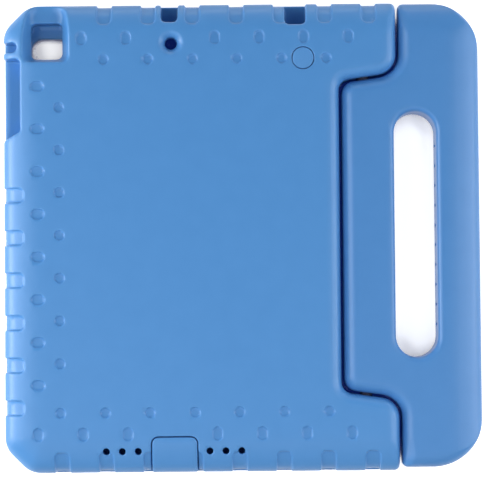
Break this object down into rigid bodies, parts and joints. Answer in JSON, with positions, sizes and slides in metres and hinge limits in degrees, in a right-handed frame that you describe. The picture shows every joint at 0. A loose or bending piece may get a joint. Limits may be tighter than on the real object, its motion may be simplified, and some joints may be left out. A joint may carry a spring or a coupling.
{
  "type": "kids tablet case",
  "caption": "Moulded foam case for a 9.7 inch class tablet, with button and camera cutouts, a port flap and a carrying handle that folds out behind it as a stand.",
  "frame": {"origin": "middle of the whole case, on the plane of the front rim that it lies on", "axes": "+X across the tablet towards the handle, +Y up along the tablet towards its camera end, +Z out of the back of the case"},
  "size_m": [0.2722, 0.2676, 0.0255],
  "materials": {
    "shell_foam": "soft matte moulded foam, bright blue",
    "handle_foam": "soft matte moulded foam, bright blue",
    "flap_foam": "soft matte moulded foam, bright blue",
    "plug_foam": "fine grained foam, bright blue",
    "pin_plastic": "smooth dark plastic"
  },
  "bodies": {
    "shell": {"shell": "shell_foam", "round_plug": "plug_foam", "hinge_pin_upper": "pin_plastic", "hinge_pin_lower": "pin_plastic"},
    "handle": {"handle": "handle_foam"},
    "port_flap": {"port_flap": "flap_foam"}
  },
  "joints": [
    {"name": "handle_fold", "type": "hinge", "parent": "shell", "child": "handle", "pos_m": [0.07, 0, 0.01275], "axis": [0, -1, 0], "range_deg": [0, 92]},
    {"name": "flap_open", "type": "hinge", "parent": "shell", "child": "port_flap", "pos_m": [-0.03925, -0.13375, 0.0063], "axis": [1, 0, 0], "range_deg": [0, 90]}
  ]
}
